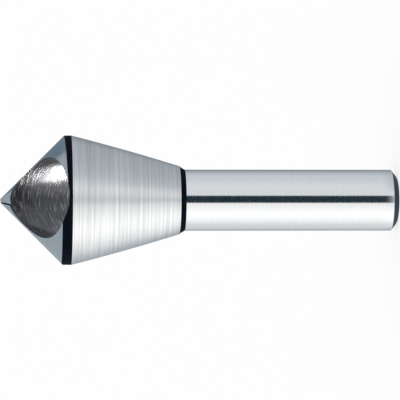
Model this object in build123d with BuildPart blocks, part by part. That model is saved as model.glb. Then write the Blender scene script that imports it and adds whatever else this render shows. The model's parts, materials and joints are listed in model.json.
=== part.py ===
from build123d import *
import os
from math import cos, radians, sin, tan

# Countersink bit with one cutting lip, turned, drilled and ground from one bar of tool steel.
# It stands on the end of its shank: the origin is the centre of that end face, +Z runs along
# the tool to its point, and the oblique hole opens through the cone towards -Y.
# Lengths are in millimetres and angles in degrees.

# Overall sizes
overall_length = 65.0
head_diameter = 21.1
shank_diameter = 10.0
shank_length = 34.9

# Cutting cone: the sharp point is ground back a little, and the land is the narrow cylinder
# left between the cone and the back taper, measured at the lip where it is widest
point_angle = 90.0
point_blunting = 0.4
land_width = 1.4

# Cam relief: behind the lip the cone falls away from the work, gently at first and by
# relief_drop after one full turn, which leaves a step at the point. Over the mouth of the hole,
# in the last share of the turn, the grinding wheel comes back, so no step is left at the land.
# The lip's bearing is taken from +X, seen from the point, and the tool turns the same way.
# The wheel runs a little past the middle, so the step stands step_offset from the axis.
relief_drop = 0.7
relief_power = 3
lip_bearing = -104.0
wheel_return = 0.115
step_offset = 0.44
relief_stations = 50

# Back taper: turned, and crowned a little half-way along
taper_crown = 0.12

# Shoulder: the unground neck between the back taper and the shank, slightly hollow
shoulder_length = 0.9
shoulder_step = 0.58
shoulder_hollow = 0.03

# Shank end: a chamfer that runs into the end face with a small round
chamfer_length = 1.0
chamfer_depth = 1.25
end_round = 0.3

# Oblique hole: it enters through the cone and leaves through the back taper on the far side,
# which gives the lip its rake and lets the chip out. It crosses the tool's middle plane a
# little above the foot of the land, and hole_offset to the side of the axis.
hole_diameter = 13.05
hole_slant = 50.0
hole_lean = 1.4
hole_rise = 0.2
hole_offset = 0.25

head_radius = head_diameter / 2
shank_radius = shank_diameter / 2
cone_slope = tan(radians(point_angle / 2))
sharp_point = overall_length + point_blunting
land_foot = sharp_point - head_radius / cone_slope - land_width
taper_foot = shank_length + shoulder_length


def relief(turn):
    """Height lost by the cone after this share of a turn behind the lip."""
    return relief_drop * turn**relief_power


def returned(turn):
    """Share of the relief that is left at the foot: 1, then smoothly down to 0 at the lip."""
    travel = max(0, (turn - 1 + wheel_return) / wheel_return)
    return 1 - travel**2 * (3 - 2 * travel)


def spine_point(turn):
    """Where the cone's straight side, at this share of a turn, meets the tool's axis."""
    return 0, 0, sharp_point - relief(turn)


def foot_point(turn):
    """Where the same straight side meets the plane at the foot of the land."""
    radius = (sharp_point - relief(turn) * returned(turn) - land_foot) * cone_slope
    bearing = radians(lip_bearing - 360 * turn)
    return radius * cos(bearing), radius * sin(bearing), land_foot


# The relieved cone is a ruled surface from the tool's axis to a curve round its flat foot,
# closed by the step at the point
turns = [station / relief_stations for station in range(relief_stations + 1)]
spine = Edge.make_spline([spine_point(turn) for turn in turns], parameters=turns)
foot_curve = Edge.make_spline([foot_point(turn) for turn in turns], parameters=turns)
flank = Face.make_surface_from_curves(spine, foot_curve)
*step_edges, foot_edge = flank.edges().sort_by(SortBy.LENGTH)
step = Face(Wire(step_edges))
foot = Face(Wire([foot_edge]))
relieved_cone = Solid(Shell([flank, step, foot]))

# The step's plane holds the axis and the lip. The ground surface ends there along a straight
# line, and the strip of the point between this plane and the step goes down to that line.
lip = radians(lip_bearing)
lip_plane = Plane(origin=(0, 0, 0), x_dir=(cos(lip), sin(lip), 0), z_dir=(sin(lip), -cos(lip), 0))
ground_end = sharp_point - relief_drop
end_slope = (ground_end - land_foot) / ((sharp_point - land_foot) * cone_slope)
strip_end = head_radius / 2

# The hole's own plane lies across it, where its centre line crosses the middle of the tool
hole_direction = Vector(
    -sin(radians(hole_lean)),
    sin(radians(hole_slant)) * cos(radians(hole_lean)),
    -cos(radians(hole_slant)) * cos(radians(hole_lean)),
)
hole_plane = Plane(
    origin=(hole_offset, 0, land_foot + hole_rise),
    x_dir=(1, 0, 0),
    z_dir=hole_direction,
)

with BuildPart() as countersink_bit:
    # Head: a short cylinder as wide as the land, with its top ground to the relieved cone
    with BuildSketch(Plane.XY.offset(land_foot)):
        Circle(head_radius)
    extrude(amount=overall_length - land_foot)
    add(relieved_cone, mode=Mode.INTERSECT)

    # Strip between the lip's plane and the step, ground down with the end of the surface
    with BuildSketch(lip_plane):
        with BuildLine():
            Polyline(
                (-relief_drop / end_slope, sharp_point),
                (strip_end, ground_end - strip_end * end_slope),
                (strip_end, sharp_point),
                (-relief_drop / end_slope, sharp_point),
            )
        make_face()
    extrude(amount=step_offset, mode=Mode.SUBTRACT)

    # Shank, hollow shoulder and back taper, turned in one profile up to the land
    with BuildSketch(Plane.XZ) as turned_profile:
        with BuildLine():
            Polyline(
                (0, 0),
                (shank_radius - chamfer_depth, 0),
                (shank_radius, chamfer_length),
                (shank_radius, shank_length),
            )
            SagittaArc(
                (shank_radius, shank_length),
                (shank_radius + shoulder_step, taper_foot),
                shoulder_hollow,
            )
            SagittaArc(
                (shank_radius + shoulder_step, taper_foot),
                (head_radius, land_foot),
                -taper_crown,
            )
            Polyline((head_radius, land_foot), (0, land_foot), (0, 0))
        make_face()
        end_corner = turned_profile.vertices().group_by(Axis.Y)[0].sort_by(Axis.X)[-1]
        fillet(end_corner, radius=end_round)
    revolve(axis=Axis.Z)

    # Cross hole, drilled right through
    with BuildSketch(hole_plane):
        Circle(hole_diameter / 2)
    extrude(amount=head_diameter, both=True, mode=Mode.SUBTRACT)

countersink_bit.part.label = "countersink_bit"
os.makedirs("parts", exist_ok=True)
export_step(countersink_bit.part, "parts/countersink_bit.step")
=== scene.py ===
# %% [markdown]
# # A countersink bit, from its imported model
#
# The tool is one bar of steel: a shank to grip, a black shoulder, a turned back taper, a black
# land, and a ground cone with an oblique hole through it, whose edge does the cutting.
# Everything here is made round that model, in metres, in the same axes: the tool stands on the
# end of its shank, and +Z runs to its point.

import json
from math import atan2, cos, pi, radians, sin, tan

import bmesh
import bpy
from mathutils import Matrix, Vector

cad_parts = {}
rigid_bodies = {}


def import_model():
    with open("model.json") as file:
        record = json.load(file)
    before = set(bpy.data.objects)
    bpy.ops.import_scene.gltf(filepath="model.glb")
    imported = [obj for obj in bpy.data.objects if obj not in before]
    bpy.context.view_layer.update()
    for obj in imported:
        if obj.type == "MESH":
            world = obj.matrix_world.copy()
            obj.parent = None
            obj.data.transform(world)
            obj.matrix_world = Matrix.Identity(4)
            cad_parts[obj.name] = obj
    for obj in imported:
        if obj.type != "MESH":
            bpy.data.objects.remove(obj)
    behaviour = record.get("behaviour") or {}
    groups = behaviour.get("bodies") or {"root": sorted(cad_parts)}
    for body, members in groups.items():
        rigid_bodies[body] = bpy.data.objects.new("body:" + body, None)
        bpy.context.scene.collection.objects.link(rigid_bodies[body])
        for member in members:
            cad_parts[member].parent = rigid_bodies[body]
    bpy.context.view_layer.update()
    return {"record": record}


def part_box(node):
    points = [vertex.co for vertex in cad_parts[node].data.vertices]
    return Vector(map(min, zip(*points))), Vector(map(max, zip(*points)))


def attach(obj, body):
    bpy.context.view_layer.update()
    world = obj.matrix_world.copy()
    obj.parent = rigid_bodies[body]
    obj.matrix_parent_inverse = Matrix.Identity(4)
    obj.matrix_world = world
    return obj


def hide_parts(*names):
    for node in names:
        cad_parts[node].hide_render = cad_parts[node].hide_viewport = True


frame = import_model()

# %% [markdown]
# The large sizes are read from the frame, so they can't drift from the CAD model. The box gives
# the tool's length and its head. The record's `shank` mount is the ground cylinder that a chuck
# grips, so it gives the shank's radius, the length of the end chamfer and where the shoulder
# starts. The few sizes that neither holds are named here once, in metres.

# %% The tool's sizes
mm = 0.001
micron = 1e-6
lowest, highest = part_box("countersink_bit")
tool_length = highest.z
head_radius = (highest.x - lowest.x) / 2

shank_mount = next(m for m in frame["record"]["mounts"] if m["name"] == "shank")
shank_radius = shank_mount["dims"]["r_mm"] * mm
grip_half = shank_mount["dims"]["length_mm"] * mm / 2
chamfer_length = shank_mount["pos_m"][2] - grip_half
shank_top = shank_mount["pos_m"][2] + grip_half

chamfer_depth = 1.25 * mm
shoulder_length = 0.9 * mm
shoulder_step = 0.58 * mm
shoulder_hollow = 0.03 * mm
taper_crown = 0.12 * mm
land_width = 1.4 * mm
point_angle = radians(90)
point_blunting = 0.4 * mm

cone_slope = tan(point_angle / 2)
sharp_point = tool_length + point_blunting
rim_height = sharp_point - head_radius / cone_slope
land_foot = rim_height - land_width
taper_foot = shank_top + shoulder_length
print("length", tool_length, "head radius", head_radius, "shank radius", shank_radius)

# %% [markdown]
# The camera comes next, because every finish is judged through it. The photograph was taken
# from almost level with the tool and from far away, with a long lens, and it shows the tool
# lying on its side. The bit stands upright here, so the camera rolls a quarter turn instead:
# the right of the picture is down the tool, and the top of it is +X.

# %% Camera
picture_width = 400
camera_distance = 0.470
camera_tilt = radians(4.25)
aim = Vector((0, 0, 0.032377))
focal_pixels = 2872.56
centre_row = 200.2

picture_right = Vector((0, -sin(camera_tilt), -cos(camera_tilt)))
picture_up = Vector((1, 0, 0))
towards_camera = picture_right.cross(picture_up)

camera_data = bpy.data.cameras.new("camera")
camera_data.sensor_width = 36
camera_data.lens = focal_pixels / picture_width * camera_data.sensor_width
camera_data.shift_y = (centre_row - picture_width / 2) / picture_width
camera_data.clip_start, camera_data.clip_end = 0.01, 50
camera = bpy.data.objects.new("camera", camera_data)
roll = Matrix((picture_right, picture_up, towards_camera)).transposed()
camera.matrix_world = Matrix.Translation(aim + towards_camera * camera_distance) @ roll.to_4x4()
bpy.context.scene.collection.objects.link(camera)
bpy.context.scene.camera = camera
bpy.context.scene.view_settings.view_transform = "Standard"
print("camera at", [round(c, 4) for c in camera.location], "lens", round(camera_data.lens, 1))


# %% [markdown]
# Every light and finish below is a small net of shader nodes. These helpers keep each net short
# to read: `node` adds one node and sets its values, `wire` joins an output to an input, and the
# others are the few steps that come back again and again.

# %% Helpers for shader nodes
def node(tree, kind, **values):
    """Adds a node. A value goes to the node's setting of that name, or else to its input."""
    made = tree.nodes.new(kind)
    for name, value in values.items():
        if hasattr(made, name):
            setattr(made, name, value)
        else:
            made.inputs[name.replace("_", " ")].default_value = value
    return made


def wire(tree, source, target):
    tree.links.new(source, target)


def past(tree, value, start, stop):
    """0 before start, 1 after stop, and smooth between. It falls where stop is below start."""
    made = node(tree, "ShaderNodeMapRange", interpolation_type="SMOOTHSTEP")
    wire(tree, value, made.inputs["Value"])
    low, high = min(start, stop), max(start, stop)
    for name, number in zip(("From Min", "From Max"), (low, high)):
        made.inputs[name].default_value = number
    if stop < start:
        made.inputs["To Min"].default_value, made.inputs["To Max"].default_value = 1, 0
    return made.outputs[0]


def both(tree, first, second):
    """The product of two values, so it is 1 only where both are."""
    made = node(tree, "ShaderNodeMath", operation="MULTIPLY")
    wire(tree, first, made.inputs[0])
    wire(tree, second, made.inputs[1])
    return made.outputs[0]


def blend(tree, share, first, second):
    """Mixes two colours. Each is the output of a node, or three numbers."""
    made = node(tree, "ShaderNodeMix", data_type="RGBA")
    wire(tree, share, made.inputs[0])
    for colour, socket in ((first, made.inputs[6]), (second, made.inputs[7])):
        if isinstance(colour, tuple):
            socket.default_value = (*colour, 1)
        else:
            wire(tree, colour, socket)
    return made.outputs[2]


# %% [markdown]
# The studio is a pale floor under a round tent of light. Polished steel is a mirror, so what
# gives it shape is what stands round it, and a good tent is built panel by panel. Two rings of
# panels stand round the tool. The level ring shows in the upright shank, and the lower ring in
# the back taper, which leans down. Both are brightest on the left of the lens and grey on the
# right.

# %% Rings of panels
brightest_panel = 1.45
cool_below = 1.1
most_coolness = 0.17
blue_for_red = 0.8


def panel_colour(level):
    """The colour of a panel of this brightness: white at full light, and cooler in the grey."""
    coolness = most_coolness * max(0, 1 - level / cool_below)
    return level * (1 - coolness), level, level * (1 + blue_for_red * coolness)


def panel_ring(tree, bearing, panels):
    """A ring of panels, each given by its bearing from the lens in degrees and its brightness."""
    turns = node(tree, "ShaderNodeMapRange")
    wire(tree, bearing, turns.inputs["Value"])
    turns.inputs["From Min"].default_value = -pi
    turns.inputs["From Max"].default_value = pi
    ring = node(tree, "ShaderNodeValToRGB")
    ring.color_ramp.interpolation = "CARDINAL"
    wire(tree, turns.outputs[0], ring.inputs[0])
    stops = ring.color_ramp.elements
    while len(stops) < len(panels):
        stops.new(0.5)
    for stop, (at, level) in zip(stops, panels):
        stop.position = (at + 180) / 360
        stop.color = (*[part / brightest_panel for part in panel_colour(level)], 1)

    # A ramp's colours stop at 1, so they are kept as shares of the brightest panel
    brightness = node(tree, "ShaderNodeVectorMath", operation="SCALE", Scale=brightest_panel)
    wire(tree, ring.outputs[0], brightness.inputs[0])
    return brightness.outputs[0]


print("brightest panel", brightest_panel, "grey panel", [round(c, 3) for c in panel_colour(0.5)])

# %% [markdown]
# The roof of the tent shows in the cone: pale slate, and darker at the back on the right. In
# front is a dark gap where the lens looks in, and that is the dark stripe down the shank. Where
# one part of the tent goes over into the next is given in degrees: elevations above the horizon,
# and bearings from the lens, to the right. Only reflections see all this. The camera itself sees
# plain white, and all other rays see an even light, so the floor is lit evenly.

# %% Tent of light
white = (1.0, 1.0, 1.0)
pale_roof = (0.39, 0.45, 0.50)
dark_roof = (0.16, 0.23, 0.28)
gap_colour = (0.017, 0.036, 0.052)
level_panels = [
    (-180, 0.33), (-150, 0.58), (-125, 0.86), (-105, 0.95), (-80, 1.25), (-55, 1.40),
    (-30, 1.26), (-10, 1.10), (15, 0.93), (55, 0.94), (80, 0.83), (110, 0.74),
    (135, 0.52), (150, 0.36), (180, 0.20),
]
low_panels = [
    (-180, 0.42), (-150, 0.45), (-120, 0.92), (-95, 1.24), (-65, 1.45), (-40, 1.33),
    (-18, 1.12), (-8, 1.0), (0, 0.80), (10, 0.96), (25, 0.98), (45, 0.73),
    (75, 0.61), (110, 0.54), (180, 0.41),
]

low_ring_start = (-6, -20)
roof_start = (-1, 20)
dark_roof_left, dark_roof_top = (122, 138), (49, 38)
gap_left, gap_right = (-11, -9), (18, 16)
gap_bottom, gap_top = (-20, -11), (20, 11)


def tent_world():
    world = bpy.data.worlds.new("light_tent")
    world.use_nodes = True
    world.cycles.sampling_method = "NONE"
    tree = world.node_tree
    tree.nodes.clear()
    place = node(tree, "ShaderNodeTexCoord")
    axes = node(tree, "ShaderNodeSeparateXYZ")
    wire(tree, place.outputs["Generated"], axes.inputs[0])

    # Bearing from the lens: zero at the lens, less than zero to the left in the world (-X)
    away = node(tree, "ShaderNodeMath", operation="MULTIPLY")
    wire(tree, axes.outputs["Y"], away.inputs[0])
    away.inputs[1].default_value = -1
    bearing = node(tree, "ShaderNodeMath", operation="ARCTAN2")
    wire(tree, axes.outputs["X"], bearing.inputs[0])
    wire(tree, away.outputs[0], bearing.inputs[1])

    def past_bearing(start, stop):
        return past(tree, bearing.outputs[0], radians(start), radians(stop))

    def past_elevation(start, stop):
        return past(tree, axes.outputs["Z"], sin(radians(start)), sin(radians(stop)))

    level_ring = panel_ring(tree, bearing.outputs[0], level_panels)
    low_ring = panel_ring(tree, bearing.outputs[0], low_panels)
    walls = blend(tree, past_elevation(*low_ring_start), level_ring, low_ring)

    back_right = both(tree, past_bearing(*dark_roof_left), past_elevation(*dark_roof_top))
    roof = blend(tree, back_right, pale_roof, dark_roof)
    roofed = blend(tree, past_elevation(*roof_start), walls, roof)

    across = both(tree, past_bearing(*gap_left), past_bearing(*gap_right))
    along = both(tree, past_elevation(*gap_bottom), past_elevation(*gap_top))
    panelled = blend(tree, both(tree, across, along), roofed, gap_colour)

    rays = node(tree, "ShaderNodeLightPath")
    mirrored = node(tree, "ShaderNodeMath", operation="MAXIMUM")
    wire(tree, rays.outputs["Is Glossy Ray"], mirrored.inputs[0])
    wire(tree, rays.outputs["Is Transmission Ray"], mirrored.inputs[1])
    lit = blend(tree, mirrored.outputs[0], white, panelled)
    seen = blend(tree, rays.outputs["Is Camera Ray"], lit, white)
    glow = node(tree, "ShaderNodeBackground")
    wire(tree, seen, glow.inputs["Color"])
    out = node(tree, "ShaderNodeOutputWorld")
    wire(tree, glow.outputs[0], out.inputs[0])
    return world


bpy.context.scene.world = tent_world()
print("tent set:", len(level_panels), "level panels and", len(low_panels), "lower ones")

# %% [markdown]
# One small strip lamp stands close behind the tool, where the oblique hole comes out. Its light
# goes up through the hole and shows as a bright patch on the drilled wall, next to the land. Only
# its first reflection is wanted: a second one, from wall to wall, would fill the dark top of the
# hole, so the lamp lights nothing after the first bounce. A narrow spread, like a grid on a real
# lamp, keeps its light off the edge of the back taper. It makes the middle of the beam six times
# as bright, so the lamp itself is set low.

# %% Strip lamp behind the hole
strip_length, strip_width = 14 * mm, 3.8 * mm
strip_area = pi / 4 * strip_length * strip_width
strip_radiance = 2.8
strip_spread = radians(80)
strip_place = Vector((-0.0089, 0.0174, 0.0427))
strip_faces = Vector((0.625, -0.491, 0.606)).normalized()
strip_along = Vector((-0.050, 0.751, 0.660))

lamp_data = bpy.data.lights.new("strip_lamp", "AREA")
lamp_data.shape = "ELLIPSE"
lamp_data.size, lamp_data.size_y = strip_length, strip_width
lamp_data.energy = strip_radiance * pi * strip_area
lamp_data.spread = strip_spread

# Both settings are needed: without the second, a reflected ray that meets the lamp still counts
lamp_data.cycles.max_bounces = 0
lamp_data.cycles.use_multiple_importance_sampling = False

lamp = bpy.data.objects.new("strip_lamp", lamp_data)
sideways = strip_faces.cross(strip_along).normalized()
lamp_axes = Matrix((sideways.cross(strip_faces) * -1, sideways, strip_faces * -1)).transposed()
lamp.matrix_world = Matrix.Translation(strip_place) @ lamp_axes.to_4x4()
lamp.visible_camera = False
bpy.context.scene.collection.objects.link(lamp)
print("strip lamp", round(lamp_data.energy, 4), "W, handedness", round(lamp_axes.determinant(), 3))

# %% [markdown]
# The floor is a wide disc under the shank. It looks white to the camera but keeps the tool's
# shadow, because a quarter of what the camera sees there is the floor's own lit colour and the
# rest is plain white. The tent goes on below the floor for reflections, so the floor itself
# stays out of them.

# %% Floor
floor_radius = 12.0
floor_paint = (0.96, 0.96, 0.96, 1)
plain_share = 0.75


def floor_material():
    material = bpy.data.materials.new("studio_floor")
    material.use_nodes = True
    material.cycles.emission_sampling = "NONE"
    tree = material.node_tree
    tree.nodes.clear()
    rays = node(tree, "ShaderNodeLightPath")
    paint = node(tree, "ShaderNodeBsdfDiffuse", Color=floor_paint)
    plain = node(tree, "ShaderNodeEmission", Strength=1.0)
    share = node(tree, "ShaderNodeMath", operation="MULTIPLY")
    wire(tree, rays.outputs["Is Camera Ray"], share.inputs[0])
    share.inputs[1].default_value = plain_share
    mixed = node(tree, "ShaderNodeMixShader")
    wire(tree, share.outputs[0], mixed.inputs[0])
    wire(tree, paint.outputs[0], mixed.inputs[1])
    wire(tree, plain.outputs[0], mixed.inputs[2])
    out = node(tree, "ShaderNodeOutputMaterial")
    wire(tree, mixed.outputs[0], out.inputs[0])
    return material


floor_mesh = bpy.data.meshes.new("studio_floor")
disc = bmesh.new()
bmesh.ops.create_circle(disc, cap_ends=True, segments=96, radius=floor_radius)
disc.to_mesh(floor_mesh)
disc.free()
floor = bpy.data.objects.new("studio_floor", floor_mesh)
bpy.context.scene.collection.objects.link(floor)
floor_mesh.materials.append(floor_material())
floor.visible_glossy = False
print("floor radius", floor_radius)

# %% [markdown]
# The body is turned work, so it is made the way a lathe makes it: half of the section is drawn
# once and spun. A pen draws it here, one vertex extruded from the last, with rings along the
# long stretches to keep the faces short. The corners then get small rounds, because a real edge
# is never perfectly sharp, and the line of light along it is what makes it look like steel. Two
# rings beside the rim, one on the land and one on the cone, will later carry the line where the
# black skin ends.

# %% Half section
lip_bearing = radians(-104)
ring_from_rim = 0.2 * mm


def place(radius, height):
    """A point of the half section, drawn in the upright plane through the cutting lip."""
    return Vector((radius * cos(lip_bearing), radius * sin(lip_bearing), height))


def draw(chain, tip, radius, height, rings=1, hollow=0):
    """Draws on from a vertex in a straight line, or a line that sinks in by hollow half-way."""
    start, end = tip.co.copy(), place(radius, height)
    sideways = Vector((0, 0, 1)).cross(place(1, 0))
    inward = (end - start).cross(sideways).normalized()
    for ring in range(1, rings + 1):
        share = ring / rings
        tip = bmesh.ops.extrude_vert_indiv(chain, verts=[tip])["verts"][0]
        tip.co = start.lerp(end, share) + inward * hollow * 4 * share * (1 - share)
    return tip


def half_section():
    """The chain of vertices from the centre of the shank's end, up the outside, to the point."""
    chain = bmesh.new()
    centre = chain.verts.new(place(0, 0))
    end_edge = draw(chain, centre, shank_radius - chamfer_depth, 0, rings=6)
    chamfer_edge = draw(chain, end_edge, shank_radius, chamfer_length)
    shank_edge = draw(chain, chamfer_edge, shank_radius, shank_top, rings=16)
    shoulder_edge = draw(
        chain, shank_edge, shank_radius + shoulder_step, taper_foot, rings=8, hollow=shoulder_hollow
    )
    land_edge = draw(chain, shoulder_edge, head_radius, land_foot, rings=24, hollow=-taper_crown)
    land_ring = draw(chain, land_edge, head_radius, rim_height - ring_from_rim)
    rim = draw(chain, land_ring, head_radius, rim_height)
    inside_rim = head_radius - ring_from_rim
    cone_ring = draw(chain, rim, inside_rim, sharp_point - inside_rim / cone_slope)
    draw(chain, cone_ring, 0, sharp_point, rings=40)

    rounds = {
        end_edge: 0.25, chamfer_edge: 0.05, shoulder_edge: 0.06, land_edge: 0.05, rim: 0.04,
    }
    for corner, size in rounds.items():
        bmesh.ops.bevel(
            chain, geom=[corner], offset=size * mm, offset_type="OFFSET", segments=4,
            profile=0.5, affect="VERTICES", material=-1,
        )
    return chain


body = half_section()
print("half section:", len(body.verts), "points")

# %% [markdown]
# One spin turns the section into the whole body. It starts at the cutting lip and runs the way
# the tool is ground, and it stops a hair short of a full turn: the cone has to end lower than it
# began, so its first and last columns must not be one. Everywhere else the two are merged.

# %% Spin
columns = 360
short_of_a_turn = 1e-5

bmesh.ops.spin(
    body, geom=body.verts[:] + body.edges[:], cent=(0, 0, 0), axis=(0, 0, -1),
    angle=2 * pi * (1 - short_of_a_turn), steps=columns, use_merge=False,
)
print("spun:", len(body.faces), "faces")

# %% [markdown]
# A countersink cuts only where its lip stands proud, so the cone behind the lip is ground away
# little by little, and after one turn the surface is lower: that is the step at the point. Near
# the end of the turn, over the mouth of the hole, the wheel comes back, and at the land no step
# is left. The black skin of the land stays a little above the rim at the lip, and late in the
# turn the wheel runs over the rim and takes a little of it off. Both surfaces are written as a
# height that changes with the turn behind the lip.

# %% Cam relief and edge of the skin
relief_drop = 0.7 * mm
relief_power = 3
wheel_return = 0.115
skin_height = 1.635 * mm
skin_taken_off = 1.1 * mm
skin_return = 0.05


def turn_behind_lip(point):
    """The share of a turn that this point lies behind the lip."""
    behind = (lip_bearing - atan2(point.y, point.x)) / (2 * pi) % 1
    return 0 if behind > 1 - short_of_a_turn / 2 else behind


def left_at_land(turn, return_share=wheel_return):
    """Share of the relief that is left at the land: 1, then smoothly down to 0 at the lip."""
    travel = max(0, (turn - 1 + return_share) / return_share)
    return 1 - travel**2 * (3 - 2 * travel)


def ground_height(turn, radius):
    """Height of the relieved cone: a straight line from the axis out to the foot of the land."""
    relief = relief_drop * turn**relief_power
    foot_radius = (sharp_point - relief * left_at_land(turn) - land_foot) * cone_slope
    apex = sharp_point - relief
    return apex - (apex - land_foot) * radius / foot_radius


def skin_edge(turn):
    """Height at which the black skin ends, above the rim or below it."""
    taken_off = skin_taken_off * turn**relief_power * left_at_land(turn, skin_return)
    return land_foot + skin_height - taken_off


print("relief left at the land half-way round:", round(left_at_land(0.5), 2))

# %% [markdown]
# Each vertex of the cone is now lowered by the amount that the grinding takes there. Of the two
# rings beside the rim, the one on the side where the skin ends follows its edge, and the other
# stays a hair from the rim.

# %% Relieve the cone
cone_start = land_foot + land_width / 2
least_skin = 0.05 * mm
tiny = 1e-7
lowered = {}
for vertex in body.verts:
    radius, height = vertex.co.xy.length, vertex.co.z
    if height < cone_start:
        continue

    # A vertex on the axis has no bearing of its own, so it takes its outer neighbour's
    column = vertex
    if radius < tiny:
        neighbours = [edge.other_vert(vertex) for edge in vertex.link_edges]
        column = max(neighbours, key=lambda neighbour: neighbour.co.xy.length)
    turn = turn_behind_lip(column.co)
    over_rim = skin_edge(turn) - ground_height(turn, head_radius)
    target = vertex.co.copy()
    if abs(height - rim_height + ring_from_rim) < tiny:
        target.z = ground_height(turn, head_radius) - max(-over_rim, least_skin)
    elif abs(radius - head_radius + ring_from_rim) < tiny:
        target.xy *= (head_radius - max(over_rim, least_skin) * cone_slope) / radius
        target.z = ground_height(turn, target.xy.length)
    else:
        target.z -= sharp_point - radius / cone_slope - ground_height(turn, radius)
    lowered[vertex] = target
for vertex, target in lowered.items():
    vertex.co = target
print("cone relieved:", len(lowered), "vertices")

# %% [markdown]
# Now the first and last columns are merged wherever they still touch, which leaves one gap, the
# step from the lip's height down to where the grinding ended. One flat face fills it. The point
# is then ground back: everything above the tool's length is cut off, and the cut is closed.

# %% Seam, step and point
touching = 0.001 * mm
sliver = 1e-8

bmesh.ops.remove_doubles(body, verts=body.verts, dist=touching)
rim_of_gap = [edge for edge in body.edges if edge.is_boundary]
step = bmesh.ops.edgeloop_fill(body, edges=rim_of_gap)["faces"]
print("gap edges", len(rim_of_gap), "step faces", len(step))

cut = bmesh.ops.bisect_plane(
    body, geom=body.verts[:] + body.edges[:] + body.faces[:], dist=1e-9,
    plane_co=(0, 0, tool_length), plane_no=(0, 0, 1), clear_outer=True,
)
open_edges = [part for part in cut["geom_cut"] if isinstance(part, bmesh.types.BMEdge)]
tops = bmesh.ops.edgeloop_fill(body, edges=open_edges)["faces"]
bmesh.ops.dissolve_degenerate(body, edges=body.edges[:], dist=sliver)
bmesh.ops.recalc_face_normals(body, faces=body.faces)
still_open = sum(edge.is_boundary for edge in body.edges)
print("point closed by", len(tops), "face; open edges left:", still_open)

# %% [markdown]
# Two cuts are left, and each takes one solid away from another. The first is a thin strip at
# the point, because the wheel runs a little past the middle and the step stands beside the
# axis. The strip starts a hair on the empty side of the lip's plane, because two solids that
# share a plane exactly are hard to subtract.

# %% Strip at the point
step_offset = 0.44 * mm
hair = 0.004 * mm

outward = place(1, 0)
past_lip = Vector((0, 0, 1)).cross(outward) * -1
ground_end = sharp_point - relief_drop
end_slope = (ground_end - land_foot) / ((sharp_point - land_foot) * cone_slope)
strip_end = head_radius / 2


def piece_from(work, name):
    """Turns a finished bmesh into an object at the origin, with its place in its mesh."""
    mesh = bpy.data.meshes.new(name)
    work.to_mesh(mesh)
    work.free()
    made = bpy.data.objects.new(name, mesh)
    bpy.context.scene.collection.objects.link(made)
    return made


strip_cut = bmesh.new()
corners = [
    (-relief_drop / end_slope, sharp_point), (strip_end, ground_end - strip_end * end_slope),
    (strip_end, sharp_point),
]
side = strip_cut.faces.new([
    strip_cut.verts.new(outward * reach + Vector((0, 0, height)) - past_lip * hair)
    for reach, height in corners
])
pushed = bmesh.ops.extrude_face_region(strip_cut, geom=[side], use_keep_orig=True)["geom"]
bmesh.ops.translate(
    strip_cut, verts=[part for part in pushed if isinstance(part, bmesh.types.BMVert)],
    vec=past_lip * (step_offset + hair),
)
bmesh.ops.recalc_face_normals(strip_cut, faces=strip_cut.faces)
strip = piece_from(strip_cut, "strip_cut")
print("strip ends", round(strip_end / mm, 2), "mm from the axis, step at", step_offset / mm, "mm")

# %% [markdown]
# The second cut is the oblique hole, drilled by a plain cylinder that is longer than the tool is
# wide. The cylinder is cut into rings, so the wall of the hole has faces of a sensible shape.

# %% Cross hole
hole_radius = 13.05 / 2 * mm
hole_slant = radians(50)
hole_lean = radians(1.4)
hole_rise = 0.2 * mm
hole_offset = 0.25 * mm
hole_centre = Vector((hole_offset, 0, land_foot + hole_rise))
hole_axis = Vector((
    -sin(hole_lean), sin(hole_slant) * cos(hole_lean), -cos(hole_slant) * cos(hole_lean),
))
hole_turn = hole_axis.to_track_quat("Z", "X").to_matrix().to_4x4()
hole_frame = Matrix.Translation(hole_centre) @ hole_turn

drill_length = 40 * mm
drill_sides = 256
drill_rings = 32
drill_cut = bmesh.new()
bmesh.ops.create_cone(
    drill_cut, cap_ends=True, segments=drill_sides, radius1=hole_radius, radius2=hole_radius,
    depth=drill_length, matrix=hole_frame,
)
long_edges = [edge for edge in drill_cut.edges if edge.calc_length() > drill_length / 2]
bmesh.ops.subdivide_edges(drill_cut, edges=long_edges, cuts=drill_rings - 1, use_grid_fill=True)
drill = piece_from(drill_cut, "drill_cut")
bit = piece_from(body, "ground_countersink")
print("drill:", len(drill.data.polygons), "faces, body:", len(bit.data.polygons), "faces")

# %% [markdown]
# A bmesh has no operator that subtracts one solid from another, so Boolean modifiers do it, and
# their result is kept as the final mesh. All three solids are closed, so the Manifold solver can
# do it, which leaves no gap in its result.

# %% Both cuts
for tool in (drill, strip):
    cut = bit.modifiers.new(tool.name, "BOOLEAN")
    cut.operation, cut.solver, cut.object = "DIFFERENCE", "MANIFOLD", tool
depsgraph = bpy.context.evaluated_depsgraph_get()
drilled = bpy.data.meshes.new_from_object(bit.evaluated_get(depsgraph))
bit.modifiers.clear()
drilled.materials.clear()
drilled.name = "ground_countersink"
bit.data = drilled
for tool in (strip, drill):
    bpy.data.objects.remove(tool)
print("cut and drilled:", len(drilled.polygons), "faces")

# %% [markdown]
# One solid, but six finishes, because each surface was made in another way, and some also carry
# painted shade. The wall of the hole is found by its distance from the hole's own axis, and
# everything else by its height and radius. The step is the one upright face near the point, and it
# takes the black as painted shade.

# %% Finishes by surface
finishes = ["ground_shank", "cut_end", "black_skin_and_painted_shade", "turned_taper", "ground_cone", "drilled_wall"]
to_hole = hole_frame.inverted()
wall_tolerance = 0.01 * mm
rim_tolerance = 0.002 * mm
sharp_angle = radians(16)

# A face is square to a direction, or faces it, by how much of its normal lies along it
square_below, facing_above = 0.1, 0.9


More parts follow.
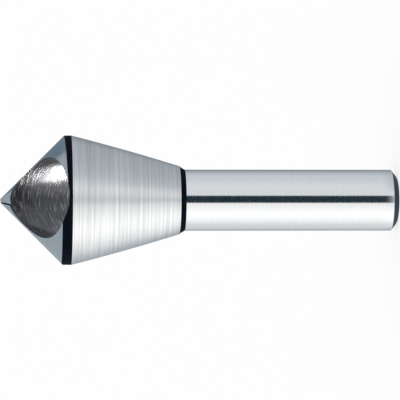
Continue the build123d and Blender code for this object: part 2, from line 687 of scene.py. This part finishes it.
def finish_of(face):
    """The name of the finish that this face was left with."""
    middle = face.calc_center_median()
    in_hole = to_hole @ middle
    if abs(in_hole.xy.length - hole_radius) < wall_tolerance:
        along_hole = (to_hole.to_3x3() @ face.normal).z
        if abs(along_hole) < square_below and middle.xy.length < head_radius - rim_tolerance:
            return "drilled_wall"
    height = middle.z
    if height < chamfer_length:
        return "cut_end"
    if height < shank_top:
        return "ground_shank"
    if height < taper_foot:
        return "black_skin_and_painted_shade"
    if height < land_foot:
        return "turned_taper"
    # The step face gets the black as painted shade, for the shadow in the step
    if height > tool_length - strip_end and abs(face.normal.dot(past_lip)) > facing_above:
        return "black_skin_and_painted_shade"
    return "ground_cone" if height > skin_edge(turn_behind_lip(middle)) else "black_skin_and_painted_shade"


work = bmesh.new()
work.from_mesh(bit.data)
counts = dict.fromkeys(finishes, 0)
for face in work.faces:
    name = finish_of(face)
    face.material_index = finishes.index(name)
    face.smooth = True
    counts[name] += 1

# Edges are sharp where the surface turns a corner, and all round the wall of the hole
wall = finishes.index("drilled_wall")
for edge in work.edges:
    sides = {face.material_index for face in edge.link_faces}
    edge_of_wall = len(sides) > 1 and wall in sides
    edge.smooth = edge.calc_face_angle(0) < sharp_angle and not edge_of_wall
work.to_mesh(bit.data)
work.free()
print(counts)

# %% [markdown]
# The rounds along the edges are so small that ordinary smooth shading would bend the light on the
# large faces beside them. A Weighted Normal modifier lets the large faces keep their true
# direction, so only the round itself catches the light.

# %% Clean shading
weigh = bit.modifiers.new("true_faces", "WEIGHTED_NORMAL")
weigh.mode, weigh.keep_sharp, weigh.weight = "FACE_AREA", True, 90
depsgraph = bpy.context.evaluated_depsgraph_get()
shaded = bpy.data.meshes.new_from_object(bit.evaluated_get(depsgraph))
bit.modifiers.remove(weigh)
bit.data = shaded
shaded.name = "ground_countersink"
print("shaded mesh:", len(shaded.polygons), "faces, custom normals:", shaded.has_custom_normals)


# %% [markdown]
# Steel's colour is the tint of its reflections, so every finish here is a metal, or nearly one,
# whose colour, roughness and small relief change along the marks that its machine left.
# `streaks` is the common base: a noise that is squeezed along one direction, so it draws fine
# parallel lines. It reads Object coordinates, so the lines stay on the steel from every side.

# %% Streaks
def object_place(tree):
    return node(tree, "ShaderNodeTexCoord").outputs["Object"]


def streaks(tree, place, across, along, detail=2.0, roughness=0.6):
    """Lines round the place's Z axis: so many marks per metre across them, and along them."""
    squeeze = node(tree, "ShaderNodeMapping", Scale=(along, along, across))
    wire(tree, place, squeeze.inputs["Vector"])
    noise = node(tree, "ShaderNodeTexNoise", Scale=1.0, Detail=detail, Roughness=roughness)
    wire(tree, squeeze.outputs[0], noise.inputs["Vector"])
    return noise.outputs["Fac"]


def spread(tree, value, low, high, start=0.3, stop=0.7):
    """Stretches a value from start..stop to low..high."""
    made = node(tree, "ShaderNodeMapRange")
    wire(tree, value, made.inputs["Value"])
    limits = {"From Min": start, "From Max": stop, "To Min": low, "To Max": high}
    for name, number in limits.items():
        made.inputs[name].default_value = number
    return made.outputs[0]


def relief(tree, value, depth):
    """A bump of the given depth in metres."""
    made = node(tree, "ShaderNodeBump", Strength=1.0, Distance=depth)
    wire(tree, value, made.inputs["Height"])
    return made.outputs[0]


def finish(name, metallic=1.0):
    """A new material of this name, its tree of nodes and its Principled shader."""
    material = bpy.data.materials.new(name)
    material.use_nodes = True
    tree = material.node_tree
    tree.nodes.clear()
    shader = node(tree, "ShaderNodeBsdfPrincipled", Metallic=metallic)
    out = node(tree, "ShaderNodeOutputMaterial")
    wire(tree, shader.outputs[0], out.inputs[0])
    return material, tree, shader


def coat(tree, shader, colour, roughness, bump):
    """Joins what a finish worked out to its shader."""
    wire(tree, colour, shader.inputs["Base Color"])
    wire(tree, roughness, shader.inputs["Roughness"])
    wire(tree, bump, shader.inputs["Normal"])


materials = {}


def keep(material):
    """Stores a finished material until the bit is dressed, and prints the size of its net."""
    materials[material.name] = material
    print(material.name, "is a net of", len(material.node_tree.nodes), "nodes")


# %% [markdown]
# The shank is ground to size for the chuck: the finest lines of all, and the clearest mirror.

# %% Ground shank
def ground_shank():
    material, tree, shader = finish("ground_shank")
    lines = streaks(tree, object_place(tree), across=9000, along=60)
    tint = blend(tree, spread(tree, lines, 0, 1), (0.69, 0.70, 0.71), (0.74, 0.745, 0.75))
    coat(tree, shader, tint, spread(tree, lines, 0.08, 0.13), relief(tree, lines, 0.6 * micron))
    return material


keep(ground_shank())


# %% [markdown]
# The back taper is only turned, so its marks are coarser and it shines less. Fine turning marks
# smear every reflection across themselves. That is what the shader's anisotropy does here, with
# its tangent straight up the tool. A second noise breaks the lines up into short patches.

# %% Turned taper
share_of_patches = 0.4


def turned_taper():
    material, tree, shader = finish("turned_taper")
    shader.inputs["Anisotropic"].default_value = 0.6
    wire(tree, node(tree, "ShaderNodeCombineXYZ", Z=1.0).outputs[0], shader.inputs["Tangent"])
    place = object_place(tree)
    lines = streaks(tree, place, across=2600, along=25, detail=4.0, roughness=0.75)
    patches = streaks(tree, place, across=1500, along=160, detail=3.0, roughness=0.6)
    marks = node(tree, "ShaderNodeMath", operation="MULTIPLY_ADD")
    wire(tree, patches, marks.inputs[0])
    marks.inputs[1].default_value = share_of_patches
    wire(tree, lines, marks.inputs[2])
    tint = blend(tree, spread(tree, lines, 0, 1), (0.50, 0.51, 0.515), (0.83, 0.835, 0.84))
    bump = relief(tree, marks.outputs[0], 6 * micron)
    coat(tree, shader, tint, spread(tree, lines, 0.30, 0.20), bump)
    return material


keep(turned_taper())


# %% [markdown]
# The cone is ground like the shank, with a slightly coarser wheel.

# %% Ground cone
def ground_cone():
    material, tree, shader = finish("ground_cone")
    lines = streaks(tree, object_place(tree), across=4000, along=50)
    tint = blend(tree, spread(tree, lines, 0, 1), (0.66, 0.68, 0.69), (0.74, 0.75, 0.76))
    coat(tree, shader, tint, spread(tree, lines, 0.10, 0.16), relief(tree, lines, 0.8 * micron))
    return material


keep(ground_cone())


# %% [markdown]
# The land and the shoulder were never ground bright, so they keep a black skin, which is no bare
# metal: it is almost black, a little blue, and reflects next to nothing. The step at the point is
# ground steel, but it looks as dark in the photograph, so it gets the same black as painted shade,
# for the shadow that lies in the step.

# %% Black skin, and painted shade on the step
def black_skin_and_painted_shade():
    material, tree, shader = finish("black_skin_and_painted_shade", metallic=0.0)
    shader.inputs["Specular IOR Level"].default_value = 0.01
    grain = streaks(tree, object_place(tree), across=3000, along=300, detail=3.0)
    darkest, palest = (0.0025, 0.0045, 0.0080), (0.0045, 0.0065, 0.0115)
    tint = blend(tree, spread(tree, grain, 0, 1), darkest, palest)
    coat(tree, shader, tint, spread(tree, grain, 0.45, 0.6), relief(tree, grain, 2 * micron))
    return material


keep(black_skin_and_painted_shade())


# %% [markdown]
# The end of the shank and its chamfer are dark too, but they are metal, with coarse marks. Their
# low tint is painted shade: it darkens what they reflect.

# %% Cut end
def cut_end():
    material, tree, shader = finish("cut_end")
    lines = streaks(tree, object_place(tree), across=6000, along=200, detail=3.0)
    # Painted shade: a low tint that darkens the end's reflections
    tint = blend(tree, spread(tree, lines, 0, 1), (0.035, 0.055, 0.070), (0.065, 0.090, 0.110))
    coat(tree, shader, tint, spread(tree, lines, 0.35, 0.5), relief(tree, lines, 3 * micron))
    return material


keep(cut_end())


# %% [markdown]
# The drill left fine rings on the wall of the hole. They run round the hole and not round the tool,
# so the place is first turned into the hole's own frame. The wall's steel is painted dark, as shade
# deep inside the hole. Over the rings lie the short bright scratches that the chips left. Their
# pale tint is partly their bare steel and partly painted glints. They are a little rougher than the
# steel round them.

# %% Drilled wall
def drilled_wall():
    material, tree, shader = finish("drilled_wall", metallic=0.8)
    turned = node(tree, "ShaderNodeMapping", vector_type="TEXTURE")
    turned.inputs["Location"].default_value = hole_frame.translation
    turned.inputs["Rotation"].default_value = hole_frame.to_euler()
    wire(tree, object_place(tree), turned.inputs["Vector"])
    place = turned.outputs[0]

    rings = streaks(tree, place, across=5000, along=450)
    scored = streaks(tree, place, across=3400, along=480, detail=4.0, roughness=0.55)
    scratches_and_glints = spread(tree, scored, 0, 1, start=0.54, stop=0.64)
    shades = spread(tree, rings, 0, 1, start=0.35, stop=0.65)
    # Painted shade: the wall's steel is tinted dark, as in the shade deep inside the hole
    shaded_wall_tint = blend(tree, shades, (0.105, 0.098, 0.106), (0.18, 0.172, 0.177))
    # The scratches' pale tint is partly their bare steel and partly painted glints
    tint = blend(tree, scratches_and_glints, shaded_wall_tint, (0.44, 0.43, 0.44))
    roughness = spread(tree, scratches_and_glints, 0.19, 0.30, start=0, stop=1)
    coat(tree, shader, tint, roughness, relief(tree, scratches_and_glints, 12 * micron))
    return material


keep(drilled_wall())

# %% [markdown]
# The materials go onto the body in the order in which its faces were numbered.

# %% Dress the bit
for name in finishes:
    bit.data.materials.append(materials[name])

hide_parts("countersink_bit")
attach(bit, "root")
print("dressed with", [material.name for material in bit.data.materials])
